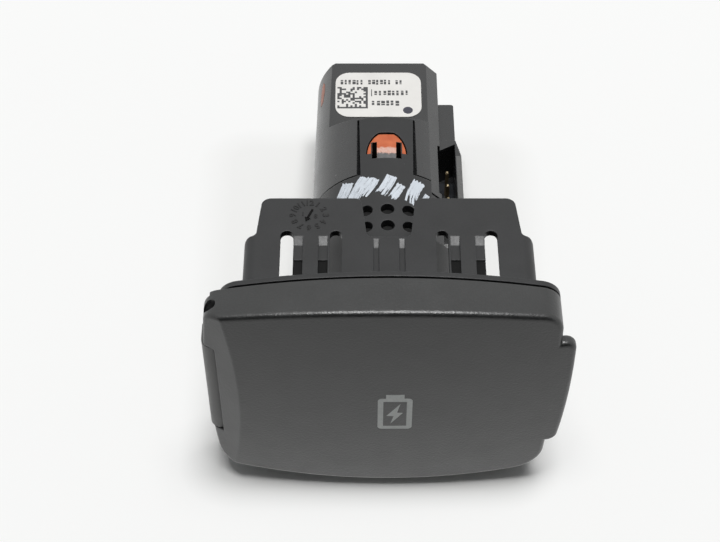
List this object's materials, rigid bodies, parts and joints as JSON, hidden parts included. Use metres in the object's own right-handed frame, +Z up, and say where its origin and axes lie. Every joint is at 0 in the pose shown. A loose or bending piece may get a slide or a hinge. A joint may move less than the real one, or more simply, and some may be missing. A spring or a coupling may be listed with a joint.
{
  "type": "usb port module",
  "caption": "Vehicle USB charging port: plug-in module with two stacked sockets in a snap-in bezel with a vented barrel, latch tongue and crowned hinged door.",
  "frame": {"origin": "on the axis of the socket barrel, in the plane of the bezel flange's rear face, which seats on the vehicle's panel", "axes": "+X right seen from the front, +Y into the panel along the barrel, +Z up"},
  "size_m": [0.0762, 0.0938, 0.06],
  "materials": {
    "housing_plastic": "fine moulded texture, satin",
    "mark_print": "grey print",
    "pin_steel": "drawn wire",
    "catch_orange": "semi-gloss",
    "board": "solder mask",
    "ferrite": "matte",
    "capacitor_can": "satin",
    "terminal_brass": "gold flash",
    "label_film": "printed film",
    "shell_steel": "nickel plated",
    "insulator": "matte"
  },
  "bodies": {
    "housing": {"bezel_housing": "housing_plastic", "hinge_pin": "pin_steel", "module_case": "housing_plastic", "latch_catch": "catch_orange", "usb_faceplate": "housing_plastic", "circuit_board": "board", "power_inductor": "ferrite", "input_capacitor": "capacitor_can", "output_capacitor": "capacitor_can", "controller_chip": "ferrite", "connector_terminals": "terminal_brass", "label": "label_film", "usb_shell_upper": "shell_steel", "usb_shell_lower": "shell_steel", "usb_insulator_upper": "insulator", "usb_insulator_lower": "insulator", "usb_contacts_upper": "terminal_brass", "usb_contacts_lower": "terminal_brass"},
    "door": {"door": "housing_plastic", "door_mark": "mark_print"}
  },
  "joints": [
    {"name": "door_hinge", "type": "hinge", "parent": "housing", "child": "door", "pos_m": [-0.036, -0.005, 0], "axis": [0, 0, -1], "range_deg": [0, 105]}
  ]
}
